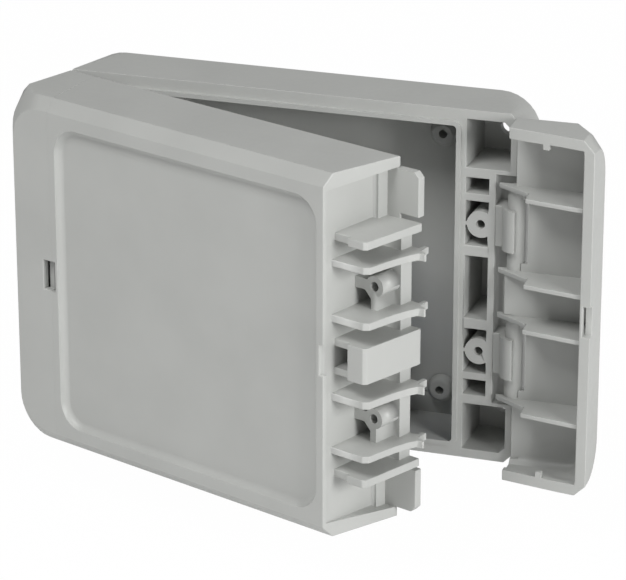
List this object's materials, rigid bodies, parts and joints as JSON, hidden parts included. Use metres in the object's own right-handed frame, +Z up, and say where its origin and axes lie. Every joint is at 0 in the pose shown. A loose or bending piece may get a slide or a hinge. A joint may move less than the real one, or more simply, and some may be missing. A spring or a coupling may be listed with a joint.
{
  "type": "fiber termination box",
  "caption": "Wall-mount plastic box for ending fibre cables: base, lid that swings on its left end closure, open right end closure, splice tray and adapter bracket inside.",
  "frame": {"origin": "centre of the base's back face, which lies on the wall", "axes": "+X along the box's length to the right, +Z up, -Y out of the wall towards the front"},
  "size_m": [0.202, 0.1052, 0.143],
  "materials": {
    "enclosure_plastic": "satin moulded, fine spark texture",
    "closure_plastic": "satin moulded, fine spark texture",
    "gasket_foam": "foamed polyurethane",
    "tray_plastic": "moulded",
    "cover_plastic": "clear",
    "dark_plastic": "moulded",
    "sleeve_plastic": "heat-shrink",
    "zinc_steel": "zinc plated",
    "bracket_steel": "galvanised sheet",
    "adapter_plastic": "moulded",
    "cap_plastic": "moulded",
    "connector_plastic": "moulded",
    "fibre_jacket": "tight buffer",
    "gland_plastic": "moulded polyamide",
    "seal_rubber": "moulded",
    "plug_plastic": "moulded"
  },
  "bodies": {
    "base": {"base_shell": "enclosure_plastic", "splice_tray": "tray_plastic", "tray_cover": "cover_plastic", "splice_holder": "dark_plastic", "splice_sleeves": "sleeve_plastic", "tray_screws": "zinc_steel", "adapter_bracket": "bracket_steel", "bracket_screws": "zinc_steel", "adapters": "adapter_plastic", "dust_caps": "cap_plastic", "connectors": "connector_plastic", "pigtails": "fibre_jacket", "gland_bodies": "gland_plastic", "gland_locknuts": "gland_plastic", "gland_seals": "seal_rubber", "gland_caps": "gland_plastic", "gland_washers": "seal_rubber", "gland_plugs": "plug_plastic", "cable_clamp": "dark_plastic", "clamp_screws": "zinc_steel"},
    "lid": {"lid_shell": "enclosure_plastic", "lid_gasket": "gasket_foam"},
    "left_closure": {"left_closure": "closure_plastic"},
    "right_closure": {"right_closure": "closure_plastic"}
  },
  "joints": [
    {"name": "lid_swing", "type": "hinge", "parent": "base", "child": "lid", "pos_m": [-0.081, -0.025, 0], "axis": [0, 0, -1], "range_deg": [-21.2, 80]},
    {"name": "left_closure_hinge", "type": "hinge", "parent": "base", "child": "left_closure", "pos_m": [-0.081, -0.025, 0], "axis": [0, 0, -1], "range_deg": [-21.2, 80]},
    {"name": "right_closure_hinge", "type": "hinge", "parent": "base", "child": "right_closure", "pos_m": [0.081, -0.025, 0], "axis": [0, 0, 1], "range_deg": [-91.2, 18]}
  ],
  "couplings": [
    {"joint": "left_closure_hinge", "follows": "lid_swing", "ratio": 1}
  ]
}
